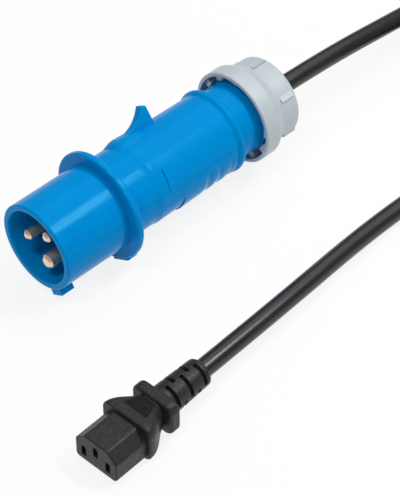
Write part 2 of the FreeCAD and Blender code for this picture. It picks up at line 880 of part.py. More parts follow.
def gland_nut():
    """Grey nut: a wide skirt with inner teeth, a smaller crown with six grip lugs, and a cone that closes the claw."""
    body = new_body("gland_nut")
    taper_start = nut_front + skirt_length
    crown_start = taper_start + skirt_taper
    skirt_bore = skirt_radius - skirt_wall
    thread_bore = thread_radius + fit_gap
    hollow_end = thread_end + fit_gap * 4
    cone_share = (claw_tip - hollow_end) / (claw_tip - claw_root)
    cone_start = claw_tip_radius + (claw_root_radius - claw_tip_radius) * cone_share + fit_gap
    section = draw(
        new_sketch(body, "NutSection", "XY_Plane"),
        [
            (nut_front, skirt_bore),
            (nut_front, skirt_radius),
            (taper_start, skirt_radius),
            (crown_start, crown_radius),
            (nut_rear, crown_radius),
            (nut_rear, cord_exit_radius),
            (nut_rear - nut_back_wall, cord_exit_radius),
            (nut_rear - nut_back_wall, claw_tip_radius + fit_gap),
            (hollow_end, cone_start),
            (hollow_end, thread_bore),
            (nut_front + skirt_depth, thread_bore),
            (nut_front + skirt_depth, skirt_bore),
        ],
    )
    turned = revolve(body, "NutTurned", section)
    crown = soften(body, "CrownRound", turned, crown_round, ring_at(nut_rear, crown_radius))
    crown = soften(body, "SkirtRound", crown, skirt_rear_round, ring_at(taper_start, skirt_radius))
    crown = soften(body, "CrownFillet", crown, crown_fillet, ring_at(crown_start, crown_radius))
    soften(
        body, "LipRound", crown, nut_lip_round, ring_at(nut_front, skirt_radius), ring_at(nut_rear, cord_exit_radius)
    )
    lug = draw(
        new_sketch(body, "LugOutline", "YZ_Plane", crown_start + lug_setback),
        [(0, crown_radius - wall_sink), (lug_width, crown_radius - wall_sink), (0, crown_radius + lug_height)],
    )
    lug_pad = pad(body, "Lug", lug, nut_rear - crown_round - crown_start - lug_setback)
    polar(body, "Lugs", lug_pad, lug, NUT_LUGS)
    tooth = draw(
        new_sketch(body, "ToothOutline", "YZ_Plane", nut_front + skirt_depth - tooth_length),
        rectangle(-tooth_width / 2, thread_bore + tooth_gap, tooth_width / 2, skirt_radius - skirt_wall / 2),
    )
    tooth_pad = pad(body, "Tooth", tooth, tooth_length + fit_gap)
    polar(body, "Teeth", tooth_pad, tooth, NUT_TEETH)
    return lay_in_plug(body, nut_turn.value)


def rounded_path(points, label=None):
    """Straight runs joined by tangent arcs, each arc as large as the shorter of its two runs allows."""
    edges = []
    radii = []
    cursor = points[0]
    for before, corner, after in zip(points, points[1:], points[2:]):
        arriving, leaving = corner - before, after - corner
        turn = arriving.getAngle(leaving)
        reach = ARC_SHARE * min(arriving.Length, leaving.Length)
        radius = reach / math.tan(turn / 2)
        radii.append(round(radius, 1))
        start = corner - arriving.normalize() * reach
        end = corner + leaving.normalize() * reach
        middle_chord = (start + end) / 2
        inward = (middle_chord - corner).normalize()
        middle = corner + inward * (radius / math.cos(turn / 2) - radius)
        edges.append(Part.LineSegment(cursor, start).toShape())
        edges.append(Part.Arc(start, middle, end).toShape())
        cursor = end
    edges.append(Part.LineSegment(cursor, points[-1]).toShape())
    if label:
        print(label, "arc radii", radii)
    return Part.Wire(edges)


def tube(path, radius):
    """A round solid along a path, tested against its section times its length."""
    start = path.Edges[0]
    section = Part.Wire(Part.Circle(start.Vertexes[0].Point, start.tangentAt(start.FirstParameter), radius).toShape())
    solid = path.makePipeShell([section], True, False)
    expected = math.pi * radius * radius * path.Length
    if abs(solid.Volume - expected) > VOLUME_SLACK * expected:
        raise RuntimeError("a tube's volume is not its section times its length")
    return solid


def feature(label, shape):
    """A sub-part whose shape is made in code."""
    thing = document.addObject("Part::Feature", label.title().replace("_", ""))
    thing.Label = label
    thing.Shape = shape
    return thing


def core(label, place, points, bare_length):
    """One insulated core along its route, with its bare end in the terminal or crimp before the first point."""
    path = rounded_path([place(*p) for p in points])
    insulated = tube(path, core_radius.value)
    start = path.Edges[0]
    back = start.tangentAt(start.FirstParameter) * -bare_length.value
    bare = Part.makeCylinder(conductor_radius.value, bare_length.value, path.Edges[0].Vertexes[0].Point, back)
    return feature(label, insulated.fuse(bare).removeSplitter())


def plug_cores():
    """The three cores between the end of the sheath and the pins' terminals."""
    straight = core_straight.value
    spread = core_spread.value / pin_circle.value
    made = []
    for name, angle, _ in PINS:
        across, up = (part.value for part in pin_place(angle))
        points = [
            (terminal_end.value, across, up),
            (terminal_end.value + straight, across, up),
            (gland_inner.value - straight, across * spread, up * spread),
            (gland_inner.value, across * spread, up * spread),
        ]
        made.append(core(f"plug_{name.split('_')[0]}_core", plug_point, points, wire_hole_depth - fit_gap))
    return made


# Name and place across the face of each contact of the connector
CONTACTS = [
    ("live", -contact_pitch / 2, -contact_offset),
    ("neutral", contact_pitch / 2, -contact_offset),
    ("earth", 0, contact_offset),
]


def connector_cores():
    """The three cores inside the connector, between the end of the sheath and the crimped contacts."""
    straight = crimp_lead.value
    made = []
    for name, across, up in CONTACTS:
        side, height = lift(across).value, up.value
        turn = math.atan2(height, side)
        near = core_spread.value
        points = [
            (bridge_end.value, side, height),
            (bridge_end.value + straight, side, height),
            (connector_sheath.value - straight, near * math.cos(turn), near * math.sin(turn)),
            (connector_sheath.value, near * math.cos(turn), near * math.sin(turn)),
        ]
        if name == "earth":
            points = [(along, 0.0, height) for along, _, _ in points[:1] + points[-1:]]
        made.append(core(f"connector_{name}_core", connector_point, points, barrel_length - fit_gap))
    return made


def nose_outline(width, height):
    """The connector's face: a rectangle with its two upper corners cut off."""
    right, top = width / 2, height / 2
    return [
        (-right, -top),
        (right, -top),
        (right, top - nose_chamfer_height),
        (right - nose_chamfer_width, top),
        (nose_chamfer_width - right, top),
        (-right, top - nose_chamfer_height),
    ]


def connector_nose():
    """The connector's nose by itself, rounded before it joins the shoulder."""
    body = new_body("connector_nose")
    face = draw(new_sketch(body, "FaceOutline", "YZ_Plane"), nose_outline(nose_width, nose_height))
    nose = pad(body, "Nose", face, nose_length + shoulder_edge * 2)
    nose = soften(body, "NoseRound", nose, nose_round, from_face)
    soften(body, "FaceRound", nose, face_round, in_plane(0))
    return body


def connector_body():
    """The outside of the connector's moulding, with its cavity for the carrier and its bore for the cord."""
    body = new_body("connector_outside")
    wing_outline = draw(
        new_sketch(body, "WingOutline", "YZ_Plane", wing_start), rounded_rectangle(wing_width, wing_height, wing_round)
    )
    wing = pad(body, "Wing", wing_outline, wing_length)
    soften(body, "WingEdges", wing, wing_edge, in_plane(wing_start), in_plane(wing_end))
    boot_section = draw(
        new_sketch(body, "BootSection", "XY_Plane"),
        [(wing_start, 0), (wing_start, boot_radius), (boot_end, boot_end_radius), (boot_end, 0)],
    )
    boot = revolve(body, "Boot", boot_section)
    soften(body, "BootRound", boot, boot_round, ring_at(boot_end, boot_end_radius))
    loft = body.newObject("PartDesign::AdditiveLoft", "Shoulder")
    sections = [
        (nose_length, shoulder_width, shoulder_height),
        (nose_length + hip_depth, hip_width, hip_height),
        (nose_length + flank_depth, flank_width, flank_height),
        (waist, waist_width, waist_height),
    ]
    sketches = []
    for number, (along, width, height) in enumerate(sections):
        sketch = new_sketch(body, f"ShoulderSection{number}", "YZ_Plane", along)
        sketches.append(draw(sketch, rounded_rectangle(width, height, shoulder_round)))
    loft.Profile = sketches[0]
    loft.Sections = sketches[1:]
    body.Tip = loft
    soften(body, "ShoulderEdge", loft, shoulder_edge, in_plane(nose_length))
    join = body.newObject("PartDesign::Boolean", "NoseJoin")
    join.addObject(connector_nose())
    for number in range(RIDGES):
        add_ridge(body, number)
    for row in range(BOOT_SLOT_ROWS):
        cut_boot_row(body, row)
    slots = new_sketch(body, "FaceSlots", "YZ_Plane")
    for _, across, up in CONTACTS:
        draw(slots, centred_rectangle(face_slot_width, face_slot_height, across, up))
    pocket(body, "FaceSlotCuts", slots, face_wall)
    cavity = draw(
        new_sketch(body, "BridgeCavity", "YZ_Plane", face_wall), nose_outline(bridge_width, bridge_height)
    )
    pocket(body, "BridgeCut", cavity, bridge_end - face_wall)
    bore = draw_circle(new_sketch(body, "CordBore", "YZ_Plane", connector_sheath), 0, 0, cord_radius)
    pocket(body, "CordBoreCut", bore, boot_end - connector_sheath + fit_gap)
    return lay_in_connector(body)


def add_ridge(body, number):
    """One sharp ridge of the thumb rest, shorter and lower towards the waist."""
    step = ridge_run / RIDGES
    start = ridge_start + step * number
    height = ridge_top - ridge_fall / RIDGES * number
    root = height - ridge_height * 2
    outline = draw(
        new_sketch(body, f"RidgeOutline{number}", "XZ_Plane"),
        [
            (start, root),
            (start + step, root),
            (start + step - step * ridge_flank, height - ridge_height),
            (start + step / 2, height),
            (start + step * ridge_flank, height - ridge_height),
        ],
    )
    pad(body, f"Ridge{number}", outline, ridge_width - ridge_narrowing * number, straddle=True)


def cut_boot_row(body, row):
    """Two opposite slots through the wall of the boot, turned by a quarter from one row to the next."""
    middle = boot_slot_first + boot_slot_pitch * row
    outline = rectangle(
        middle - boot_slot_width / 2, boot_slot_floor, middle + boot_slot_width / 2, boot_radius + wall_sink
    )
    first = BOOT_SLOT_TURNS[row % len(BOOT_SLOT_TURNS)]
    for side, angle in (("near", first), ("far", first + FULL_TURN / 2)):
        name = f"BootSlot{row}{side}"
        sketch = draw(new_sketch(body, f"{name}Outline", "XY_Plane", turn=angle), outline)
        groove = revolve(body, name, sketch, angle=boot_slot_angle, kind="PartDesign::Groove")
        document.recompute()
        if groove.Shape.Volume >= groove.BaseFeature.Shape.Volume - SAME:
            raise RuntimeError(f"{name} cuts nothing")


def connector_moulding(outside, cores):
    """The moulding with the cores' channels through it."""
    channels = document.addObject("Part::MultiFuse", "CoreChannels")
    channels.Shapes = cores
    moulding = document.addObject("Part::Cut", "ConnectorMoulding")
    moulding.Base = outside
    moulding.Tool = channels
    moulding.Label = "connector_moulding"
    return moulding


def contact_carrier():
    """Hard inner block with a chamber for each contact."""
    body = new_body("contact_carrier")
    block = draw(new_sketch(body, "BridgeOutline", "YZ_Plane", face_wall), nose_outline(bridge_width, bridge_height))
    pad(body, "Bridge", block, bridge_end - face_wall)
    chambers = new_sketch(body, "Chambers", "YZ_Plane", face_wall)
    tails = new_sketch(body, "Tails", "YZ_Plane", chamber_end)
    for _, across, up in CONTACTS:
        draw(chambers, centred_rectangle(chamber_width, chamber_height, across, up))
        draw_circle(tails, across, up, barrel_radius)
    pocket(body, "ChamberCuts", chambers, chamber_end - face_wall)
    pocket(body, "TailBores", tails, bridge_end - chamber_end)
    return lay_in_connector(body)


def spring_contact(name, across, up):
    """Sprung fork that takes a flat pin, folded from strip, with a crimp barrel behind it."""
    body = new_body(f"{name}_contact")
    heel = chamber_end - fit_gap
    root = chamber_width / 2 - fit_gap
    knee = contact_tip + contact_knee
    pinch = contact_tip + contact_pinch
    fork = new_sketch(body, f"{name}_fork", "XY_Plane", up, shift=(0, across))
    draw(
        fork,
        [
            (heel, -root),
            (heel, root),
            (knee, root),
            (pinch, root - contact_strip),
            (contact_tip, root),
            (contact_tip, root - contact_strip),
            (pinch, root - contact_strip * 2),
            (knee, root - contact_strip),
            (heel - contact_strip * 2, root - contact_strip),
            (heel - contact_strip * 2, contact_strip - root),
            (knee, contact_strip - root),
            (pinch, contact_strip * 2 - root),
            (contact_tip, contact_strip - root),
            (contact_tip, -root),
            (pinch, contact_strip - root),
            (knee, -root),
        ],
    )
    pad(body, f"{name}_spring", fork, contact_height, straddle=True)
    barrel = new_sketch(body, f"{name}_barrel", "XY_Plane", up, shift=(0, across))
    draw(
        barrel,
        [
            (heel - contact_strip, 0),
            (heel - contact_strip, root - contact_strip),
            (chamber_end, root - contact_strip),
            (chamber_end, barrel_radius - fit_gap),
            (bridge_end, barrel_radius - fit_gap),
            (bridge_end, conductor_radius),
            (bridge_end - barrel_length, conductor_radius),
            (bridge_end - barrel_length, 0),
        ],
    )
    revolve(body, f"{name}_crimp", barrel)
    return lay_in_connector(body)


def cord_routes():
    """The two stretches of cord that are not coiled, by the points they turn at."""
    entry_radius = coil_radius.value + cord_radius.value
    exit_radius = coil_radius.value + cord_diameter.value
    low = coil_base.value + cord_radius.value
    high = low + row_height.value
    from_plug = [
        plug_point(gland_inner.value),
        plug_point(cord_straight.value),
        FreeCAD.Vector(*(length.value for length in plug_bend)),
        FreeCAD.Vector(coil_x.value, coil_y.value + entry_radius, high),
    ]
    from_connector = [
        connector_point(connector_sheath.value),
        connector_point(connector_straight.value),
        *(FreeCAD.Vector(*(length.value for length in bend)) for bend in connector_bends),
        FreeCAD.Vector(coil_x.value, coil_y.value - exit_radius, low),
    ]
    return from_plug, from_connector


def cord_runs():
    """The round cord from the plug's gland to the coil, and from the coil to the connector's boot."""
    made = []
    for label, points in zip(("cord_plug_run", "cord_connector_run"), cord_routes()):
        made.append(feature(label, tube(rounded_path(points, label), cord_radius.value)))
    return made


def cord_coil():
    """The coiled spare length as one ring: three turns side by side with two more lying in the grooves on top."""
    body = new_body("cord_coil")
    inner, outer = coil_radius - cord_diameter, coil_radius + cord_diameter
    upper_inner, upper_outer = coil_radius - cord_radius, coil_radius + cord_radius
    low = coil_base + cord_radius
    high = low + row_height
    slant_out, slant_up = cord_radius * (math.sqrt(3) / 2), cord_radius / 2
    section = draw(
        new_sketch(body, "CoilSection", "XZ_Plane"),
        [
            (inner, coil_base),
            (outer, coil_base, cord_radius),
            (outer + slant_out, low + slant_up),
            (upper_outer + slant_out, high + slant_up, cord_radius),
            (upper_outer, high + cord_radius),
            (upper_inner, high + cord_radius, cord_radius),
            (upper_inner - slant_out, high + slant_up),
            (inner - slant_out, low + slant_up, cord_radius),
        ],
    )
    revolve(body, "CoilRing", section, "V_Axis")
    bind(body, "Placement.Base.x", coil_x)
    bind(body, "Placement.Base.y", coil_y)
    return body


def coil_tie():
    """Flat strap closed round the coil's turns."""
    body = new_body("coil_tie")
    inside_width = cord_diameter * 3 + tie_gap * 2 + tie_slack * 2
    inside_height = cord_diameter + row_height + tie_gap * 2
    middle = tie_thickness + inside_height / 2
    strap = new_sketch(body, "StrapOutline", "XZ_Plane")
    draw(strap, rounded_rectangle(inside_width, inside_height, tie_round, middle))
    draw(
        strap,
        rounded_rectangle(
            inside_width + tie_thickness * 2, inside_height + tie_thickness * 2, tie_round + tie_thickness, middle
        ),
    )
    pad(body, "Strap", strap, tie_width, straddle=True)
    bind(body, "Placement.Base.x", coil_x + coil_radius)
    bind(body, "Placement.Base.y", coil_y)
    return body


def check(parts):
    """Stop if any object failed to build, or any sub-part has no sound solid."""
    document.recompute()
    for thing in document.Objects:
        if {"Invalid", "Error"} & set(thing.State):
            raise RuntimeError(f"{thing.Label} is {thing.State}")
    for thing in parts:
        shape = thing.Shape
        if shape.isNull() or not shape.isValid() or not shape.Solids:
            raise RuntimeError(f"{thing.Label} has no sound solid")


def main():
    """Build every sub-part, check them all and write one file for each."""
    connector_lines = connector_cores()
    parts = [
        front_housing(),
        pin_carrier(),
        *(contact_pin(*pin) for pin in PINS),
        terminal_screws(),
        *plug_cores(),
        handle_shell(),
        cable_seal(),
        clamp_claw(),
        gland_nut(),
        connector_moulding(connector_body(), connector_lines),
        contact_carrier(),
        *(spring_contact(*contact) for contact in CONTACTS),
        *connector_lines,
        *cord_runs(),
        cord_coil(),
        coil_tie(),
    ]
    check(parts)
    os.makedirs("parts", exist_ok=True)
    for thing in parts:
        thing.Shape.exportStep(os.path.join("parts", thing.Label + ".step"))


main()
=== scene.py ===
"""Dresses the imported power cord: finishes for plug, connector, cord and strap, and a lit stage."""

import math

import bmesh
import bpy
from mathutils import Matrix, Vector
from mathutils.geometry import convex_hull_2d


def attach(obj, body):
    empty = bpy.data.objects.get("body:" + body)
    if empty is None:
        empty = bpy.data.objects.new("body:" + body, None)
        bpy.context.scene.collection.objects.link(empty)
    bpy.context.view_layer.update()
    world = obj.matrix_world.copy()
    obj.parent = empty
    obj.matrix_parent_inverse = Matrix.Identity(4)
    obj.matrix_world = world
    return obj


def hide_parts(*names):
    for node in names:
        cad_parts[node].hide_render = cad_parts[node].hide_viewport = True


bl_info = {
    "name": "Power cord",
    "version": (1, 0, 0),
    "blender": (4, 5, 0),
    "location": "View3D > Sidebar > Power cord",
    "description": "Finishes for an industrial power cord, with its cord, strap and stage",
    "category": "Object",
}

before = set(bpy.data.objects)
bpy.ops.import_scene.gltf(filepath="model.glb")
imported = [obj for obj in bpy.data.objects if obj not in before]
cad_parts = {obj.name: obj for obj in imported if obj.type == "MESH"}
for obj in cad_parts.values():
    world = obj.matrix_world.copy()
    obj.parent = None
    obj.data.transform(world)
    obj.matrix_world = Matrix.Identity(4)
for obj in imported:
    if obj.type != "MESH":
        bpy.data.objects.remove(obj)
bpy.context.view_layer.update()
BODY = "root"
MM = 0.001
WHITE = (1.0, 1.0, 1.0, 1.0)

# Middle of the sleeve's rim, as the part's source has it
PLUG_RIM = Vector((-0.0484, 0.0408, 0.0276))

# Turning points of the cord's two free stretches, from the plug and from the connector
PLUG_ROUTE = [
    (0.0734, 0.0408, 0.0276),
    (0.1309, 0.0408, 0.0276),
    (0.2, 0.0406, 0.0205),
]
CONNECTOR_ROUTE = [
    (-0.05937, -0.05315, 0.01),
    (0.01154, -0.04943, 0.01),
    (0.088, -0.041, 0.0055),
    (0.148, -0.0425, 0.0049),
    (0.203, -0.0665, 0.0052),
]


class Value:
    """A shader socket that can be added, subtracted and multiplied: each sum adds one Math node."""

    def __init__(self, paint, socket):
        self.paint = paint
        self.socket = socket

    def math(self, operation, first, second):
        """A Math node of two values or numbers."""
        return self.paint.node("ShaderNodeMath", {"operation": operation}, {0: first, 1: second})

    def __add__(self, other):
        return self.math("ADD", self, other)

    def __radd__(self, other):
        return self.math("ADD", other, self)

    def __sub__(self, other):
        return self.math("SUBTRACT", self, other)

    def __rsub__(self, other):
        return self.math("SUBTRACT", other, self)

    def __mul__(self, other):
        return self.math("MULTIPLY", self, other)

    def __rmul__(self, other):
        return self.math("MULTIPLY", other, self)


class Paint:
    """One material's node tree."""

    def __init__(self, name):
        self.material = bpy.data.materials.new(name)
        self.material.use_nodes = True
        self.tree = self.material.node_tree
        self.tree.nodes.clear()

    def node(self, kind, settings=None, sockets=None, output=0):
        """Add a node of a type with its settings first, then its sockets' values or links."""
        made = self.tree.nodes.new(kind)
        for name, setting in (settings or {}).items():
            if name == "stops":
                self.set_stops(made.color_ramp, setting)
            else:
                setattr(made, name, setting)
        for name, given in (sockets or {}).items():
            if isinstance(given, Value):
                self.tree.links.new(given.socket, made.inputs[name])
            else:
                made.inputs[name].default_value = given
        return Value(self, made.outputs[output]) if made.outputs else None

    @staticmethod
    def set_stops(ramp, stops):
        """Give a ramp its positions and grey levels."""
        while len(ramp.elements) < len(stops):
            ramp.elements.new(1.0)
        for element, (position, level) in zip(ramp.elements, stops):
            element.position = position
            element.color = (level, level, level, 1.0)

    def place(self, stretch=(1, 1, 1)):
        """Object coordinates, stretched along the axes."""
        where = self.node("ShaderNodeTexCoord", output="Object")
        return self.node("ShaderNodeMapping", {}, {"Vector": where, "Scale": stretch})

    def axis(self, place, name):
        """One coordinate of a place."""
        return self.node("ShaderNodeSeparateXYZ", {}, {"Vector": place}, name)

    def noise(self, place, scale, detail):
        """Soft noise between 0 and 1."""
        return self.node("ShaderNodeTexNoise", {}, {"Vector": place, "Scale": scale, "Detail": detail})

    def wave(self, value, radians_per_metre):
        """A wave between -1 and 1 along a coordinate."""
        return self.node("ShaderNodeMath", {"operation": "SINE"}, {0: value * radians_per_metre})

    def ramp(self, value, *stops):
        """A value passed through a ramp of grey levels."""
        return self.node("ShaderNodeValToRGB", {"stops": stops}, {"Fac": value})

    def mix(self, factor, first, second):
        """A colour between two colours."""
        return self.node("ShaderNodeMix", {"data_type": "RGBA"}, {0: factor, 6: first, 7: second}, 2)

    def bump(self, height, distance, strength=1.0):
        """A normal tilted by a height times a distance in metres."""
        return self.node(
            "ShaderNodeBump", {}, {"Height": height, "Distance": distance, "Strength": strength}, "Normal"
        )

    def surface(self, sockets):
        """Finish with a Principled surface and return the material."""
        self.finish(self.node("ShaderNodeBsdfPrincipled", {}, sockets))
        return self.material

    def finish(self, shader):
        """Lead a shader to the material's output."""
        self.node("ShaderNodeOutputMaterial", {}, {"Surface": shader})


def shade(colour, factor):
    """A colour made darker or lighter."""
    return (*(channel * factor for channel in colour[:3]), 1.0)


# Colours that the metal of the screws and the skin of the cord are mixed with
ZINC_CAST = (0.72, 0.69, 0.58, 1.0)
TALC = (0.1, 0.1, 0.1, 1.0)


def moulded_plastic(name, colour, roughness, depth=0.000012, index=1.45, gloss_tint=WHITE):
    """Injection-moulded plastic: faint colour drift, satin skin, fine texture and marks rubbed along X."""
    paint = Paint(name)
    place = paint.place()
    drift = paint.noise(place, scale=45.0, detail=3.0)
    skin = paint.noise(place, scale=1600.0, detail=2.0)
    rubbed = paint.noise(paint.place(stretch=(30.0, 900.0, 900.0)), scale=1.0, detail=3.0)
    rub = paint.ramp(rubbed, (0.56, 0.0), (0.72, 1.0))
    body = paint.mix(drift, shade(colour, 0.93), shade(colour, 1.06))
    tint = paint.mix(rub * 0.12, body, shade(colour, 1.35))
    return paint.surface(
        {
            "Base Color": tint,
            "Roughness": roughness + drift * 0.05 + rub * 0.08 + skin * 0.03,
            "Normal": paint.bump(skin + rub * 0.3, depth),
            "IOR": index,
            "Specular Tint": gloss_tint,
        }
    )


def turned_brass(name, colour):
    """Turned metal: fine tool rings round the axis and a little tarnish."""
    paint = Paint(name)
    place = paint.place()
    rings = paint.wave(paint.axis(place, "X"), radians_per_metre=9000.0)
    tarnish = paint.noise(place, scale=160.0, detail=3.0)
    body = paint.mix(tarnish, shade(colour, 0.9), shade(colour, 1.06))
    return paint.surface(
        {
            "Base Color": body,
            "Metallic": 0.85,
            "Roughness": 0.32 + tarnish * 0.12 + rings * 0.02,
            "Normal": paint.bump(rings, distance=0.000003),
        }
    )


def plated_steel(name, colour):
    """Zinc-plated steel: pale crystals with a slight yellow cast."""
    paint = Paint(name)
    place = paint.place()
    crystals = paint.node("ShaderNodeTexVoronoi", {}, {"Vector": place, "Scale": 1400.0}, "Distance")
    cast = paint.noise(place, scale=500.0, detail=3.0)
    return paint.surface(
        {
            "Base Color": paint.mix(cast, shade(colour, 0.85), ZINC_CAST),
            "Metallic": 1.0,
            "Roughness": 0.28 + crystals * 0.3,
            "Normal": paint.bump(crystals, distance=0.00001),
        }
    )


def grained_moulding(name, colour, roughness):
    """Soft black moulding: a spark-eroded grain, lighter specks painted in as glints of the grain, and a
    greyer bloom in places.
    """
    paint = Paint(name)
    place = paint.place()
    pits = paint.node("ShaderNodeTexVoronoi", {"feature": "SMOOTH_F1"}, {"Vector": place, "Scale": 2300.0})
    fine = paint.noise(place, scale=5200.0, detail=2.0)
    bloom = paint.noise(place, scale=70.0, detail=4.0)
    # Lighter specks painted in as glints on the grain; the same specks are also made glossier
    painted_glints = paint.ramp(paint.noise(place, scale=1700.0, detail=2.0), (0.50, 0.0), (0.64, 1.0))
    body = paint.mix(bloom, shade(colour, 0.82), shade(colour, 1.2))
    return paint.surface(
        {
            "Base Color": paint.mix(painted_glints * 0.6, body, shade(colour, 3.4)),
            "Roughness": roughness + fine * 0.12 + bloom * 0.06 - painted_glints * 0.12,
            "Normal": paint.bump(pits + fine * 0.5, distance=0.00006, strength=0.8),
            "IOR": 1.36,
        }
    )


def cord_sheath(name, colour):
    """Extruded sheath: a smooth satin skin with faint ripples, handling marks and a dusting of talc."""
    paint = Paint(name)
    place = paint.place()
    ripple = paint.noise(place, scale=380.0, detail=2.0)
    dust = paint.ramp(paint.noise(place, scale=900.0, detail=4.0), (0.55, 0.0), (0.8, 1.0))
    marks = paint.noise(place, scale=60.0, detail=3.0)
    body = paint.mix(marks, shade(colour, 0.8), shade(colour, 1.3))
    return paint.surface(
        {
            "Base Color": paint.mix(dust * 0.08, body, TALC),
            "Roughness": 0.25 + marks * 0.08 + dust * 0.12,
            "Normal": paint.bump(ripple, distance=0.00002),
            "IOR": 1.5,
        }
    )


def core_insulation(name, colour, stripe=None):
    """Thin coloured insulation, with a lengthwise stripe where the core has two colours."""
    paint = Paint(name)
    place = paint.place()
    drift = paint.noise(place, scale=500.0, detail=3.0)
    body = paint.mix(drift, shade(colour, 0.9), shade(colour, 1.1))
    if stripe is not None:
        bands = paint.wave(paint.axis(place, "Z"), radians_per_metre=2400.0)
        body = paint.mix(paint.ramp(bands, (0.1, 0.0), (0.2, 1.0)), body, stripe)
    return paint.surface(
        {
            "Base Color": body,
            "Roughness": 0.3 + drift * 0.12,
            "Normal": paint.bump(drift, distance=0.00001),
        }
    )


def woven_strap(name, colour):
    """Woven strap: crossing ribs of yarn, with painted shade in the weave's hollows and painted light on its
    raised threads.
    """
    paint = Paint(name)
    place = paint.place()
    warp = paint.wave(paint.axis(place, "Y"), radians_per_metre=9000.0)
    weft = paint.wave(paint.axis(place, "X") + paint.axis(place, "Z"), radians_per_metre=7000.0)
    yarn = warp * weft
    fuzz = paint.noise(place, scale=6000.0, detail=3.0)
    # Painted shade in the weave's hollows and painted light on its raised threads, following the yarn's
    # height
    painted_weave_shading = paint.ramp(yarn * 0.5 + 0.5, (0.3, 0.0), (0.8, 1.0))
    return paint.surface(
        {
            "Base Color": paint.mix(painted_weave_shading, shade(colour, 0.6), shade(colour, 1.7)),
            "Roughness": 0.72 + fuzz * 0.2,
            "Normal": paint.bump(yarn + fuzz * 0.6, distance=0.00012),
        }
    )


def colour_property(name, description, colour):
    return bpy.props.FloatVectorProperty(
        name=name, description=description, subtype="COLOR", size=4, min=0.0, max=1.0, default=(*colour, 1.0)
    )


def length_property(name, description, length):
    return bpy.props.FloatProperty(
        name=name, description=description, unit="LENGTH", subtype="DISTANCE", min=0.0, precision=4,
        default=length,
    )


def place_property(name, description, place):
    return bpy.props.FloatVectorProperty(
        name=name, description=description, subtype="TRANSLATION", unit="LENGTH", precision=4, default=place
    )


def power_property(name, description, power):
    return bpy.props.FloatProperty(name=name, description=description, unit="POWER", min=0.0, default=power)


class PlugSettings(bpy.types.PropertyGroup):
    """Colours and sizes of the plug's finish."""

    blue: colour_property("Blue", "Plastic of the housing and the handle", (0.0, 0.255, 0.64))
    blue_gloss: colour_property("Blue gloss", "Tint of the blue plastic's reflections", (0.2, 0.9, 1.0))
    grey: colour_property("Grey", "Plastic of the gland nut", (0.49, 0.553, 0.587))
    insulator: colour_property("Insulator", "Plastic that carries the pins", (0.06, 0.05, 0.24))
    brass: colour_property("Brass", "Metal of the pins", (0.9, 0.7, 0.52))
    steel: colour_property("Steel", "Metal of the terminal screws", (0.6, 0.6, 0.6))
    claw: colour_property("Claw", "Plastic of the cord clamp", (0.75, 0.75, 0.73))
    rubber: colour_property("Seal", "Rubber of the gland seal", (0.03, 0.03, 0.03))
    roll: bpy.props.FloatProperty(
        name="Roll", description="Turn of the plug about its axis", subtype="ANGLE", default=math.radians(30)
    )
    lip_segments: bpy.props.IntProperty(
        name="Lip segments", description="Faces round the lip", min=24, default=128
    )
    root_spread: bpy.props.FloatProperty(
        name="Root spread", description="Half the angle that the hook's root covers", subtype="ANGLE",
        default=math.radians(26),
    )
    grip_rise: length_property("Grip rise", "Height of the grip over the handle, at the underside", 0.0007)
    thread_radius: length_property("Thread radius", "Radius of the gland neck under its thread", 0.0182)
    thread_pitch: length_property("Thread pitch", "Distance between turns of the gland thread", 0.0025)
    thread_depth: length_property("Thread depth", "Height of the gland thread", 0.0007)
    thread_start: length_property("Thread start", "Place of the thread behind the rim", 0.1268)
    thread_turns: bpy.props.IntProperty(
        name="Thread turns", description="Turns of the gland thread", min=1, default=4
    )


class ConnectorSettings(bpy.types.PropertyGroup):
    """Colours of the connector's finish."""

    black: colour_property("Black", "Moulding of the connector", (0.015, 0.0145, 0.0145))
    insulator: colour_property("Insulator", "Inner block of the connector", (0.03, 0.03, 0.032))
    alloy: colour_property("Contacts", "Metal of the spring contacts", (0.74, 0.6, 0.36))


class CordSettings(bpy.types.PropertyGroup):
    """Sizes and colours of the cord, its cores and the strap round its coil."""

    diameter: length_property("Diameter", "Outside diameter of the cord", 0.0092)
    length: length_property("Length", "Length of the cord between plug and connector", 1.8)
    exit: length_property("Exit", "Place where the cord leaves the plug, behind the rim", 0.1498)
    coil_radius: length_property("Coil radius", "Radius of the coil at the middle of its turns", 0.048)
    coil_lift: length_property("Coil lift", "Height of the coil's underside above the floor", 0.0013)
    coil_middle: bpy.props.FloatVectorProperty(
        name="Coil middle", description="Centre of the coil", subtype="TRANSLATION", size=2,
        default=(0.247, -0.0115),
    )
    sheath: colour_property("Sheath", "Outside of the cord", (0.008, 0.008, 0.0085))
    live: colour_property("Live", "Insulation of the live core", (0.14, 0.05, 0.02))
    neutral: colour_property("Neutral", "Insulation of the neutral core", (0.02, 0.11, 0.42))
    earth: colour_property("Earth", "First colour of the earth core", (0.06, 0.3, 0.05))
    stripe: colour_property("Earth stripe", "Second colour of the earth core", (0.78, 0.6, 0.03))
    strap: colour_property("Strap", "Yarn of the strap", (0.022, 0.022, 0.024))
    strap_width: length_property("Strap width", "Width of the strap", 0.012)
    strap_thickness: length_property("Strap thickness", "Thickness of the strap", 0.0012)


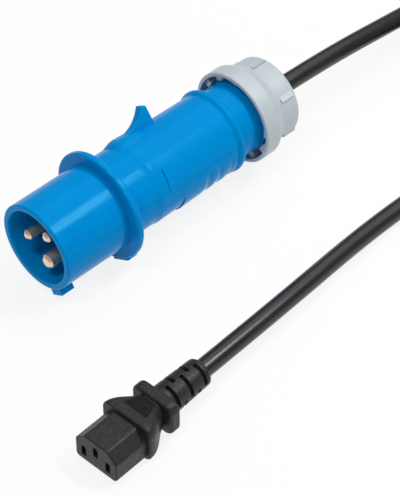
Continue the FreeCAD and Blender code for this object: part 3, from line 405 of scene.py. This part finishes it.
class StageSettings(bpy.types.PropertyGroup):
    """Floor, light and camera."""

    floor: colour_property("Floor", "Paper under the cord", (0.92, 0.92, 0.92))
    camera: place_property("Camera", "Place of the camera", (-0.48058, -0.50558, 0.72501))
    aim: bpy.props.FloatVectorProperty(
        name="Aim", description="Direction the camera looks", subtype="DIRECTION",
        default=(0.49301, 0.50344, -0.70957),
    )
    lens: bpy.props.FloatProperty(
        name="Lens", description="Focal length", subtype="DISTANCE_CAMERA", default=159.4
    )
    key_place: place_property(
        "Key place", "Place of the main lamp, which draws the bright streaks", (0.53, -0.436, 1.016)
    )
    top_place: place_property("Top place", "Place of the wide lamp overhead", (0.55, 0.24, 1.04))
    front_place: place_property(
        "Front place", "Place of the lamp before the plug, which shines into its sleeve", (-0.46, -0.05, 1.12)
    )
    fill_place: place_property("Fill place", "Place of the low lamp beside the plug", (0.0, -1.2, 0.15))
    key: power_property("Key", "Power of the main lamp", 6.2)
    top: power_property("Top", "Power of the wide lamp", 3.7)
    front: power_property("Front", "Power of the lamp before the plug", 4.0)
    fill: power_property("Fill", "Power of the low lamp", 0.6)
    sky: bpy.props.FloatProperty(
        name="Sky", description="Strength of the light all round", min=0.0, default=0.28
    )


class PowerCordSettings(bpy.types.PropertyGroup):
    """All settings of the power cord."""

    plug: bpy.props.PointerProperty(type=PlugSettings)
    connector: bpy.props.PointerProperty(type=ConnectorSettings)
    cord: bpy.props.PointerProperty(type=CordSettings)
    stage: bpy.props.PointerProperty(type=StageSettings)


def new_piece(name, mesh, material, slot, *nodes):
    """Put a mesh in the scene as a piece that rides on the part and stands for the nodes given."""
    mesh.materials.clear()
    mesh.materials.append(material)
    piece = bpy.data.objects.new(name, mesh)
    bpy.context.scene.collection.objects.link(piece)
    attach(piece, BODY)
    if nodes:
        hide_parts(*nodes)


def finish_node(node, material):
    """Give a CAD node its material."""
    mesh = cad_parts[node].data
    mesh.materials.clear()
    mesh.materials.append(material)


class DressPlug(bpy.types.Operator):
    """Finish the blue housing and handle, and add the low forms on their skin and the gland's thread"""

    bl_idname = "power_cord.dress_plug"
    bl_label = "Dress plug"

    def execute(self, context):
        settings = context.scene.power_cord.plug
        sheen = {"index": 1.15, "gloss_tint": settings.blue_gloss}
        blue = moulded_plastic("blue_plastic", settings.blue, roughness=0.12, depth=0.000003, **sheen)
        grip = moulded_plastic("blue_grip", settings.blue, roughness=0.16, depth=0.000004, **sheen)
        finish_node("front_housing", blue)
        finish_node("handle_shell", grip)
        new_piece("handle_lip", lip_mesh(settings), grip, "blue_plastic")
        new_piece("hook_root", hook_root_mesh(settings), grip, "blue_plastic")
        for name, side in (("grip_ramp_near", 1), ("grip_ramp_far", -1)):
            new_piece(name, grip_ramp_mesh(settings, name, side), grip, "blue_plastic")
        cut_thread(settings, grip)
        return {"FINISHED"}


# Lip over the joint of neck and handle: distance behind the sleeve's rim and radius, in millimetres
LIP_PROFILE = [
    (52.6, 20.35),
    (53.6, 20.46),
    (54.4, 20.49),
    (55.2, 20.51),
    (56.4, 20.57),
    (57.6, 20.74),
    (58.8, 20.94),
    (60.0, 21.01),
    (61.2, 20.985),
    (62.2, 20.955),
    (63.0, 20.925),
    (64.0, 20.8),
]

# Swelling that the lid hook grows out of: distance behind the rim, radius of the skin there and height above
# it, in millimetres
ROOT_PROFILE = [
    (54.4, 20.5, -0.15),
    (55.0, 20.5, 0.12),
    (55.7, 20.53, 0.6),
    (56.6, 20.59, 1.1),
    (57.6, 20.75, 1.36),
    (58.8, 20.94, 1.5),
    (60.5, 20.99, 1.6),
    (63.0, 20.94, 1.55),
    (66.0, 20.89, 1.4),
    (69.0, 20.85, 1.05),
    (72.0, 20.81, 0.5),
    (74.5, 20.77, -0.15),
]

# Steps from the swelling's middle to each side, how steeply it fades there (over 1 leaves the middle level),
# and how deep its sides end under the skin, in millimetres
ROOT_STEPS = 12
ROOT_FADE = 1.3
ROOT_SINK = 0.15

# Slope in front of the grip: distance behind the rim and radius of the skin there, in millimetres, and share
# of the grip's height
RAMP_PROFILE = [
    (65.5, 20.9, -0.2),
    (66.5, 20.885, 0.0),
    (68.0, 20.865, 0.12),
    (69.5, 20.845, 0.35),
    (71.0, 20.82, 0.66),
    (72.3, 20.805, 0.9),
    (73.3, 20.79, 1.0),
    (74.3, 20.775, 1.0),
    (75.5, 20.76, 0.99),
    (77.0, 20.735, 0.95),
    (79.0, 20.71, 0.86),
    (81.5, 20.675, 0.62),
    (84.0, 20.64, 0.25),
    (86.0, 20.61, -0.2),
    (87.0, 20.6, -0.6),
]

# Angles from the underside between which the slope lies, the angle that it fades in over, and its steps
RAMP_NEAREST = math.radians(40)
RAMP_FURTHEST = math.radians(106)
RAMP_FADE = math.radians(16)
RAMP_STEPS = 32

# How far the slope stands over the skin besides the grip's height, and how deep its lower side ends under the
# skin, in millimetres
RAMP_COVER = 0.02
RAMP_SINK = 0.1

# Depth of a patch's inner face under the skin, in millimetres
PATCH_SINK = 0.8


def around_plug(along, radius, angle):
    """A place on the plug: millimetres behind the rim and from the axis, and angle from +Z towards +Y."""
    return PLUG_RIM + Vector((along, radius * math.sin(angle), radius * math.cos(angle))) * MM


def lip_mesh(settings):
    """A smooth band that carries the neck's skin over into the handle's."""
    turn = 2 * math.pi / settings.lip_segments
    rings = [
        [around_plug(along, radius, step * turn) for step in range(settings.lip_segments)]
        for along, radius in LIP_PROFILE
    ]
    return lofted_mesh("handle_lip", rings, capped=False)


def patch_mesh(name, profile, angles, outside):
    """A closed patch over the plug's skin: its outer face where told, its inner face sunk under the skin."""
    rings = []
    for along, skin, height in profile:
        upper = [around_plug(along, skin + outside(height, angle), angle) for angle in angles]
        lower = [around_plug(along, skin - PATCH_SINK, angle) for angle in reversed(angles)]
        rings.append(upper + lower)
    return lofted_mesh(name, rings, capped=True)


def hook_root_mesh(settings):
    """A low swelling on the handle, with a short step in front and sides that fade into the skin."""
    spread = settings.root_spread

    def outside(height, angle):
        fade = ease(ROOT_FADE - ROOT_FADE * abs(angle - settings.roll) / spread)
        return height * fade - ROOT_SINK * (1 - fade)

    angles = [settings.roll + spread * step / ROOT_STEPS for step in range(-ROOT_STEPS, ROOT_STEPS + 1)]
    return patch_mesh("hook_root", ROOT_PROFILE, angles, outside)


def grip_ramp_mesh(settings, name, side):
    """A slope up to the grip's front on one side of the handle, which fades out towards the underside."""
    bottom = settings.roll + math.pi
    spread = RAMP_FURTHEST - RAMP_NEAREST

    def outside(share, angle):
        away = abs(angle - bottom)
        fade = ease((away - RAMP_NEAREST) / RAMP_FADE)
        rise = settings.grip_rise / MM * math.cos(away)
        return min(rise * share, rise) * fade + RAMP_COVER * share - RAMP_SINK * (1 - fade)

    angles = [bottom + side * (RAMP_NEAREST + spread * step / RAMP_STEPS) for step in range(RAMP_STEPS + 1)]
    return patch_mesh(name, RAMP_PROFILE, angles, outside)


def ease(share):
    """From 0 to 1 with a soft start and a soft stop."""
    return (1 - math.cos(math.pi * min(1.0, max(0.0, share)))) / 2


def lofted_mesh(name, rings, capped):
    """A smooth skin through rings of places, capped at both ends or led back from the last to the first."""
    work = bmesh.new()
    rows = [[work.verts.new(place) for place in ring] for ring in rings]
    for ring, following in zip(rows, rows[1:] if capped else rows[1:] + rows[:1]):
        for number in range(len(ring)):
            after = (number + 1) % len(ring)
            work.faces.new((ring[number], ring[after], following[after], following[number]))
    if capped:
        work.faces.new(list(reversed(rows[0])))
        work.faces.new(rows[-1])
    bmesh.ops.recalc_face_normals(work, faces=work.faces)
    for face in work.faces:
        face.smooth = True
    mesh = bpy.data.meshes.new(name)
    work.to_mesh(mesh)
    work.free()
    return mesh


def thread_tree():
    """Geometry nodes for a ridge that winds along X round a neck."""
    tree = bpy.data.node_groups.new("gland_thread", "GeometryNodeTree")
    kinds = {name: "NodeSocketFloat" for name in ("Radius", "Pitch", "Depth", "Start")}
    kinds.update(Turns="NodeSocketInt", Axis="NodeSocketVector", Finish="NodeSocketMaterial")
    inputs = {
        name: tree.interface.new_socket(name, in_out="INPUT", socket_type=kind)
        for name, kind in kinds.items()
    }
    tree.interface.new_socket("Geometry", in_out="OUTPUT", socket_type="NodeSocketGeometry")
    given = tree.nodes.new("NodeGroupInput")
    result = tree.nodes.new("NodeGroupOutput")

    def add(kind, settings=None, **sockets):
        made = tree.nodes.new(kind)
        for name, setting in (settings or {}).items():
            setattr(made, name, setting)
        for name, source in sockets.items():
            target = made.inputs[name.replace("_", " ")]
            if isinstance(source, bpy.types.NodeSocket):
                tree.links.new(source, target)
            else:
                target.default_value = source
        return made

    height = add("ShaderNodeMath", {"operation": "MULTIPLY"})
    tree.links.new(given.outputs["Pitch"], height.inputs[0])
    tree.links.new(given.outputs["Turns"], height.inputs[1])
    spiral = add(
        "GeometryNodeCurveSpiral", Resolution=64, Rotations=given.outputs["Turns"],
        Start_Radius=given.outputs["Radius"], End_Radius=given.outputs["Radius"], Height=height.outputs[0],
    )
    ridge = add(
        "GeometryNodeCurvePrimitiveCircle", {"mode": "RADIUS"}, Resolution=8, Radius=given.outputs["Depth"]
    )
    sweep = add(
        "GeometryNodeCurveToMesh", Curve=spiral.outputs[0], Profile_Curve=ridge.outputs[0], Fill_Caps=True
    )
    turned = add("GeometryNodeTransform", Geometry=sweep.outputs[0], Rotation=(0.0, math.pi / 2, 0.0))
    start = add("ShaderNodeCombineXYZ", X=given.outputs["Start"])
    place = add("ShaderNodeVectorMath", {"operation": "ADD"})
    tree.links.new(start.outputs[0], place.inputs[0])
    tree.links.new(given.outputs["Axis"], place.inputs[1])
    moved = add("GeometryNodeTransform", Geometry=turned.outputs[0], Translation=place.outputs[0])
    smooth = add("GeometryNodeSetShadeSmooth", Geometry=moved.outputs[0])
    real = add("GeometryNodeRealizeInstances", Geometry=smooth.outputs[0])
    finished = add("GeometryNodeSetMaterial", Geometry=real.outputs[0], Material=given.outputs["Finish"])
    tree.links.new(finished.outputs[0], result.inputs[0])
    return tree, {name: socket.identifier for name, socket in inputs.items()}


def baked_mesh(tree, values, name):
    """The plain mesh that a geometry node tree makes with these inputs."""
    holder = bpy.data.objects.new(name + "_holder", bpy.data.meshes.new(name + "_seed"))
    bpy.context.scene.collection.objects.link(holder)
    modifier = holder.modifiers.new(name, "NODES")
    modifier.node_group = tree
    for identifier, value in values.items():
        modifier[identifier] = value
    evaluated = holder.evaluated_get(bpy.context.evaluated_depsgraph_get())
    mesh = bpy.data.meshes.new_from_object(evaluated)
    mesh.name = name
    bpy.data.objects.remove(holder)
    return mesh


def cut_thread(settings, material):
    """The thread of the gland neck, seen between the handle and the nut."""
    tree, sockets = thread_tree()
    inputs = {
        "Radius": settings.thread_radius,
        "Pitch": settings.thread_pitch,
        "Depth": settings.thread_depth,
        "Start": settings.thread_start,
        "Turns": settings.thread_turns,
        "Axis": PLUG_RIM,
        "Finish": material,
    }
    values = {sockets[name]: value for name, value in inputs.items()}
    new_piece("gland_thread", baked_mesh(tree, values, "gland_thread"), material, "blue_plastic")


class DressGland(bpy.types.Operator):
    """Finish the gland's nut, seal and clamp"""

    bl_idname = "power_cord.dress_gland"
    bl_label = "Dress gland"

    def execute(self, context):
        settings = context.scene.power_cord.plug
        finish_node("gland_nut", moulded_plastic("grey_plastic", settings.grey, roughness=0.36))
        finish_node("clamp_claw", moulded_plastic("claw_plastic", settings.claw, roughness=0.4))
        finish_node("cable_seal", grained_moulding("seal_rubber", settings.rubber, roughness=0.6))
        return {"FINISHED"}


class DressPins(bpy.types.Operator):
    """Finish the pins, their carrier and the terminal screws"""

    bl_idname = "power_cord.dress_pins"
    bl_label = "Dress pins"

    def execute(self, context):
        settings = context.scene.power_cord.plug
        brass = turned_brass("brass", settings.brass)
        for node in ("live_pin", "neutral_pin", "earth_pin"):
            finish_node(node, brass)
        insulator = moulded_plastic("dark_insulator", settings.insulator, roughness=0.45, index=1.25)
        finish_node("pin_carrier", insulator)
        finish_node("terminal_screws", plated_steel("screw_steel", settings.steel))
        return {"FINISHED"}


class DressConnector(bpy.types.Operator):
    """Finish the connector's moulding, inner block and contacts"""

    bl_idname = "power_cord.dress_connector"
    bl_label = "Dress connector"

    def execute(self, context):
        settings = context.scene.power_cord.connector
        black = grained_moulding("black_moulding", settings.black, roughness=0.36)
        finish_node("connector_moulding", black)
        insulator = moulded_plastic("connector_insulator", settings.insulator, roughness=0.45)
        finish_node("contact_carrier", insulator)
        alloy = turned_brass("contact_alloy", settings.alloy)
        for node in ("live_contact", "neutral_contact", "earth_contact"):
            finish_node(node, alloy)
        return {"FINISHED"}


class DressCores(bpy.types.Operator):
    """Finish the insulated cores in the plug and the connector"""

    bl_idname = "power_cord.dress_cores"
    bl_label = "Dress cores"

    def execute(self, context):
        settings = context.scene.power_cord.cord
        finishes = {
            "live": core_insulation("brown_insulation", settings.live),
            "neutral": core_insulation("blue_insulation", settings.neutral),
            "earth": core_insulation("green_yellow_insulation", settings.earth, settings.stripe),
        }
        for end in ("plug", "connector"):
            for wire, finish in finishes.items():
                finish_node(f"{end}_{wire}_core", finish)
        return {"FINISHED"}


COIL_TURNS = 4.5
POINTS_PER_TURN = 18

# Share of a turn in which the cord crosses to its next seat, how much sooner each later turn does so, and how
# far the cord lifts on its way over the turns below, in diameters
CROSSING_TURN = 0.34
CROSSING_STEP = 0.055
HOP_SHARE = 0.15


def coil_seats(settings):
    """Radius and height of each turn's seat, from the top outer one down and out again."""
    diameter = settings.diameter
    low = settings.coil_lift + diameter / 2
    high = low + diameter * math.sqrt(3) / 2
    return [
        (settings.coil_radius + diameter / 2, high),
        (settings.coil_radius - diameter / 2, high),
        (settings.coil_radius - diameter, low),
        (settings.coil_radius, low),
        (settings.coil_radius + diameter, low),
    ]


def coil_place(settings, turn):
    """Radius and height of the cord after so many turns: in its seat, then gently across to the next seat."""
    seats = coil_seats(settings)
    lap = min(int(turn), len(seats) - 1)
    radius, height = seats[lap]
    if lap + 1 == len(seats):
        return radius, height
    next_radius, next_height = seats[lap + 1]
    latest = 1 - CROSSING_TURN
    share = (turn - lap - latest + lap * CROSSING_STEP) / CROSSING_TURN
    across = ease(share)
    hop = 0.0
    if next_height == seats[0][1]:
        hop = settings.diameter * HOP_SHARE * ease(2 * share) * ease(2 - 2 * share)
    return radius + (next_radius - radius) * across, height + (next_height - height) * across + hop


def coil_points(settings):
    """Control points of the coil's turns, set out so that the smooth line has the turns' radius."""
    middle = Vector((*settings.coil_middle, 0.0))
    reach = 1 / math.cos(math.pi / POINTS_PER_TURN)
    points = []
    for step in range(int(COIL_TURNS * POINTS_PER_TURN) + 1):
        turn = step / POINTS_PER_TURN
        radius, height = coil_place(settings, turn)
        away = radius * reach
        angle = math.pi / 2 - turn * 2 * math.pi
        points.append(middle + Vector((away * math.cos(angle), away * math.sin(angle), height)))
    return points


class LayCord(bpy.types.Operator):
    """Lay the cord from the plug through its coil to the connector"""

    bl_idname = "power_cord.lay_cord"
    bl_label = "Lay cord"

    def execute(self, context):
        settings = context.scene.power_cord.cord
        points = [*PLUG_ROUTE, *coil_points(settings), *reversed(CONNECTOR_ROUTE)]
        curve = bpy.data.curves.new("cord", "CURVE")
        curve.dimensions = "3D"
        curve.bevel_depth = settings.diameter / 2
        curve.bevel_resolution = 6
        curve.resolution_u = 8
        curve.use_fill_caps = True
        spline = curve.splines.new("NURBS")
        spline.points.add(len(points) - 1)
        for target, point in zip(spline.points, points):
            target.co = (*point, 1.0)
        spline.order_u = 3
        spline.use_endpoint_u = True
        curve.materials.append(cord_sheath("cord_sheath", settings.sheath))
        cord = bpy.data.objects.new("cord", curve)
        context.scene.collection.objects.link(cord)
        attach(cord, BODY)
        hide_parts("cord_plug_run", "cord_coil", "cord_connector_run")
        return {"FINISHED"}


# Steps round the rim of each turn that the strap is laid on, and how close to the top a place counts as level
# with it, in metres
RIM_STEPS = 72
LEVEL = 1e-6

# Places of the strap's path in which it rises onto its own start, and those that its free end lies over
STRAP_RISE = 10
STRAP_OVERLAP = 6

# Share of half a ribbon's thickness that is cut off its edges
RIBBON_EDGE = 0.7


def strap_line(settings):
    """The strap's path round the coil's turns and on over its own start, as places in an XZ plane."""
    reach = (settings.diameter + settings.strap_thickness) / 2
    rims = []
    for radius, height in coil_seats(settings):
        for step in range(RIM_STEPS):
            angle = math.radians(360 / RIM_STEPS * step)
            rims.append(Vector((radius + reach * math.cos(angle), height + reach * math.sin(angle))))
    loop = [rims[number] for number in convex_hull_2d(rims)]
    top = max(place.y for place in loop)
    first = max(range(len(loop)), key=lambda number: (loop[number].y > top - LEVEL, loop[number].x))
    loop = loop[first:] + loop[:first]
    if loop[1].x > loop[0].x:
        loop = loop[:1] + loop[:0:-1]
    places = []
    for number in range(len(loop) + STRAP_OVERLAP):
        ahead = loop[(number + 1) % len(loop)] - loop[(number - 1) % len(loop)]
        out = Vector((ahead.y, -ahead.x)).normalized()
        lift = settings.strap_thickness * ease((number - len(loop) + STRAP_RISE) / STRAP_RISE)
        along, up = loop[number % len(loop)] + out * lift
        places.append(Vector((settings.coil_middle[0] + along, settings.coil_middle[1], up)))
    return places


class TieCoil(bpy.types.Operator):
    """Close a woven strap round the coil"""

    bl_idname = "power_cord.tie_coil"
    bl_label = "Tie coil"

    def execute(self, context):
        settings = context.scene.power_cord.cord
        mesh = ribbon("coil_strap", strap_line(settings), settings.strap_width, settings.strap_thickness)
        new_piece("coil_strap", mesh, woven_strap("strap", settings.strap), "strap", "coil_tie")
        return {"FINISHED"}


def ribbon(name, places, width, thickness):
    """A flat band of that width and thickness along places in an XZ plane, with its edges cut off."""
    half_width, half_thick = width / 2, thickness / 2
    edge = half_thick * RIBBON_EDGE
    section = [
        (-half_width + edge, -half_thick),
        (half_width - edge, -half_thick),
        (half_width, -half_thick + edge),
        (half_width, half_thick - edge),
        (half_width - edge, half_thick),
        (-half_width + edge, half_thick),
        (-half_width, half_thick - edge),
        (-half_width, -half_thick + edge),
    ]
    rings = []
    last = len(places) - 1
    for number, place in enumerate(places):
        ahead = places[min(number + 1, last)] - places[max(number - 1, 0)]
        out = Vector((-ahead.z, 0.0, ahead.x)).normalized()
        rings.append([place + Vector((0.0, across, 0.0)) + out * up for across, up in section])
    return lofted_mesh(name, rings, capped=True)


# The two sides of each lamp, half the floor's width, and the camera's nearest and furthest sight, in metres
KEY_SIDES = (0.13, 0.4)
TOP_SIDES = (1.0, 0.9)
FRONT_SIDES = (0.25, 0.25)
FILL_SIDES = (0.8, 0.25)
FLOOR_REACH = 6.0
NEAREST_SIGHT = 0.05
FURTHEST_SIGHT = 20.0

# Share of plain white in what the camera sees of the floor: the rest is its lit paper, which takes the shadow
FLOOR_GLOW = 0.85


class SetStage(bpy.types.Operator):
    """Lay the floor, light it and set the camera"""

    bl_idname = "power_cord.set_stage"
    bl_label = "Set stage"

    def execute(self, context):
        settings = context.scene.power_cord.stage
        scene = context.scene
        scene.view_settings.view_transform = "Standard"
        lay_floor(scene, settings)
        light_world(scene, settings)
        soft_light(scene, "key", settings.key_place, KEY_SIDES, settings.key)
        soft_light(scene, "top", settings.top_place, TOP_SIDES, settings.top)
        soft_light(scene, "front", settings.front_place, FRONT_SIDES, settings.front)
        soft_light(scene, "fill", settings.fill_place, FILL_SIDES, settings.fill)
        camera = bpy.data.cameras.new("camera")
        camera.lens = settings.lens
        camera.clip_start = NEAREST_SIGHT
        camera.clip_end = FURTHEST_SIGHT
        holder = bpy.data.objects.new("camera", camera)
        holder.location = settings.camera
        holder.rotation_euler = Vector(settings.aim).to_track_quat("-Z", "Y").to_euler()
        scene.collection.objects.link(holder)
        scene.camera = holder
        return {"FINISHED"}


def lay_floor(scene, settings):
    """A wide paper floor that shows white and keeps a soft shadow."""
    work = bmesh.new()
    bmesh.ops.create_grid(work, x_segments=8, y_segments=8, size=FLOOR_REACH)
    mesh = bpy.data.meshes.new("floor")
    work.to_mesh(mesh)
    work.free()
    paint = Paint("paper")
    fibres = paint.noise(paint.place(), scale=300.0, detail=3.0)
    paper = paint.mix(fibres, shade(settings.floor, 0.985), settings.floor)
    matt = paint.node("ShaderNodeBsdfDiffuse", {}, {"Color": paper})
    glow = paint.node("ShaderNodeEmission", {}, {"Color": WHITE, "Strength": 1.0})
    share = seen_ray(paint) * FLOOR_GLOW
    paint.finish(paint.node("ShaderNodeMixShader", {}, {0: share, 1: matt, 2: glow}))
    mesh.materials.append(paint.material)
    floor = bpy.data.objects.new("floor", mesh)
    scene.collection.objects.link(floor)


def seen_ray(paint):
    """1 for what the camera sees, directly or in gloss and glass."""
    direct = paint.node("ShaderNodeLightPath", output="Is Camera Ray")
    rays = direct.socket.node.outputs
    gloss = Value(paint, rays["Is Glossy Ray"])
    glass = Value(paint, rays["Is Transmission Ray"])
    return direct.math("MAXIMUM", direct, direct.math("MAXIMUM", gloss, glass))


def light_world(scene, settings):
    """Even white light from all round."""
    world = bpy.data.worlds.new("studio")
    world.use_nodes = True
    background = world.node_tree.nodes["Background"]
    background.inputs["Color"].default_value = WHITE
    background.inputs["Strength"].default_value = settings.sky
    scene.world = world


def soft_light(scene, name, place, sides, power):
    """A rectangular lamp that looks at the middle of the floor, its first side along the plug's axis."""
    lamp = bpy.data.lights.new(name, "AREA")
    lamp.shape = "RECTANGLE"
    lamp.size, lamp.size_y = sides
    lamp.energy = power
    holder = bpy.data.objects.new(name, lamp)
    holder.location = place
    away = Vector(place).normalized()
    side = Vector((0.0, 1.0, 0.0)).cross(away).normalized()
    up = away.cross(side)
    holder.rotation_euler = Matrix((side, up, away)).transposed().to_euler()
    scene.collection.objects.link(holder)


class PowerCordPanel(bpy.types.Panel):
    """Settings and steps of the power cord"""

    bl_idname = "VIEW3D_PT_power_cord"
    bl_label = "Power cord"
    bl_space_type = "VIEW_3D"
    bl_region_type = "UI"
    bl_category = "Power cord"

    def draw(self, context):
        settings = context.scene.power_cord
        for group in (settings.plug, settings.connector, settings.cord, settings.stage):
            box = self.layout.box()
            for name in group.__annotations__:
                box.prop(group, name)
        for step in STEPS:
            self.layout.operator(step.bl_idname)


GROUPS = (PlugSettings, ConnectorSettings, CordSettings, StageSettings, PowerCordSettings)
STEPS = (DressPlug, DressGland, DressPins, DressConnector, DressCores, TieCoil, LayCord, SetStage)
CLASSES = (*GROUPS, *STEPS, PowerCordPanel)


def register():
    for kind in CLASSES:
        bpy.utils.register_class(kind)
    bpy.types.Scene.power_cord = bpy.props.PointerProperty(type=PowerCordSettings)


def unregister():
    del bpy.types.Scene.power_cord
    for kind in reversed(CLASSES):
        bpy.utils.unregister_class(kind)


def main():
    register()
    bpy.ops.power_cord.dress_plug()
    bpy.ops.power_cord.dress_gland()
    bpy.ops.power_cord.dress_pins()
    bpy.ops.power_cord.dress_connector()
    bpy.ops.power_cord.dress_cores()
    bpy.ops.power_cord.tie_coil()
    bpy.ops.power_cord.lay_cord()
    bpy.ops.power_cord.set_stage()


if __name__ == "__main__":
    main()
